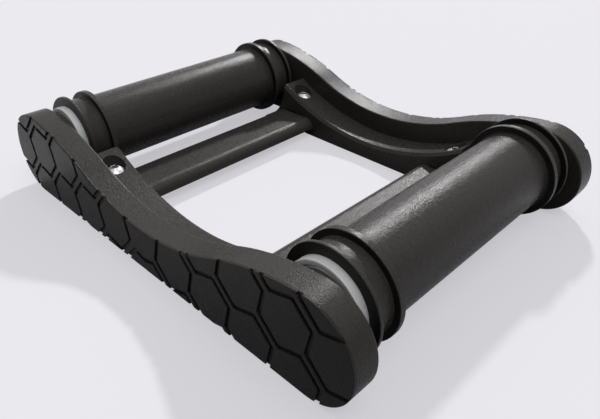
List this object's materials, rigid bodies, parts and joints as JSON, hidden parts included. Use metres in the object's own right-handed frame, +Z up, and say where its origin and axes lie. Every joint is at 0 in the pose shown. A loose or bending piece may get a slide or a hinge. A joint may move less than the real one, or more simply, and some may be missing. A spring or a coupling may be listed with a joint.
{
  "type": "spool roller stand",
  "caption": "Low stand with two flanged rollers on ball bearings between dog-bone side plates, on which a spool lies and turns as it unwinds.",
  "frame": {"origin": "centre of the footprint, on the plane that the stand rests on", "axes": "+X from the rear roller to the front one, +Y along the roller axes from the near plate to the far one, +Z up"},
  "size_m": [0.1482, 0.1108, 0.0306],
  "materials": {
    "frame_plastic": "fine sandy black, matt",
    "roller_plastic": "fine sandy black, slight sheen",
    "bearing_steel": "ground and polished",
    "ball_steel": "polished",
    "cage_steel": "pressed, satin",
    "shield_steel": "pressed, satin",
    "screw_steel": "bright zinc plated",
    "insert_brass": "turned"
  },
  "bodies": {
    "frame": {"near_plate": "frame_plastic", "far_plate": "frame_plastic", "rear_bar": "frame_plastic", "front_bar": "frame_plastic", "rear_near_inner_ring": "bearing_steel", "rear_far_inner_ring": "bearing_steel", "front_near_inner_ring": "bearing_steel", "front_far_inner_ring": "bearing_steel", "frame_screws": "screw_steel", "thread_inserts": "insert_brass"},
    "rear_roller_body": {"rear_roller": "roller_plastic", "rear_near_outer_ring": "bearing_steel", "rear_near_shields": "shield_steel", "rear_far_outer_ring": "bearing_steel", "rear_far_shields": "shield_steel"},
    "front_roller_body": {"front_roller": "roller_plastic", "front_near_outer_ring": "bearing_steel", "front_near_shields": "shield_steel", "front_far_outer_ring": "bearing_steel", "front_far_shields": "shield_steel"},
    "rear_near_ball_cage": {"rear_near_balls": "ball_steel", "rear_near_cage": "cage_steel"},
    "rear_far_ball_cage": {"rear_far_balls": "ball_steel", "rear_far_cage": "cage_steel"},
    "front_near_ball_cage": {"front_near_balls": "ball_steel", "front_near_cage": "cage_steel"},
    "front_far_ball_cage": {"front_far_balls": "ball_steel", "front_far_cage": "cage_steel"}
  },
  "joints": [
    {"name": "rear_roller_spin", "type": "hinge", "parent": "frame", "child": "rear_roller_body", "pos_m": [-0.0572, 0, 0.0166], "axis": [0, 1, 0], "continuous": true},
    {"name": "front_roller_spin", "type": "hinge", "parent": "frame", "child": "front_roller_body", "pos_m": [0.0572, 0, 0.0166], "axis": [0, 1, 0], "continuous": true},
    {"name": "rear_near_ball_spin", "type": "hinge", "parent": "frame", "child": "rear_near_ball_cage", "pos_m": [-0.0572, -0.0426, 0.0166], "axis": [0, 1, 0], "continuous": true},
    {"name": "rear_far_ball_spin", "type": "hinge", "parent": "frame", "child": "rear_far_ball_cage", "pos_m": [-0.0572, 0.0426, 0.0166], "axis": [0, 1, 0], "continuous": true},
    {"name": "front_near_ball_spin", "type": "hinge", "parent": "frame", "child": "front_near_ball_cage", "pos_m": [0.0572, -0.0426, 0.0166], "axis": [0, 1, 0], "continuous": true},
    {"name": "front_far_ball_spin", "type": "hinge", "parent": "frame", "child": "front_far_ball_cage", "pos_m": [0.0572, 0.0426, 0.0166], "axis": [0, 1, 0], "continuous": true}
  ],
  "couplings": [
    {"joint": "rear_near_ball_spin", "follows": "rear_roller_spin", "ratio": 0.6323},
    {"joint": "rear_far_ball_spin", "follows": "rear_roller_spin", "ratio": 0.6323},
    {"joint": "front_near_ball_spin", "follows": "front_roller_spin", "ratio": 0.6323},
    {"joint": "front_far_ball_spin", "follows": "front_roller_spin", "ratio": 0.6323}
  ]
}
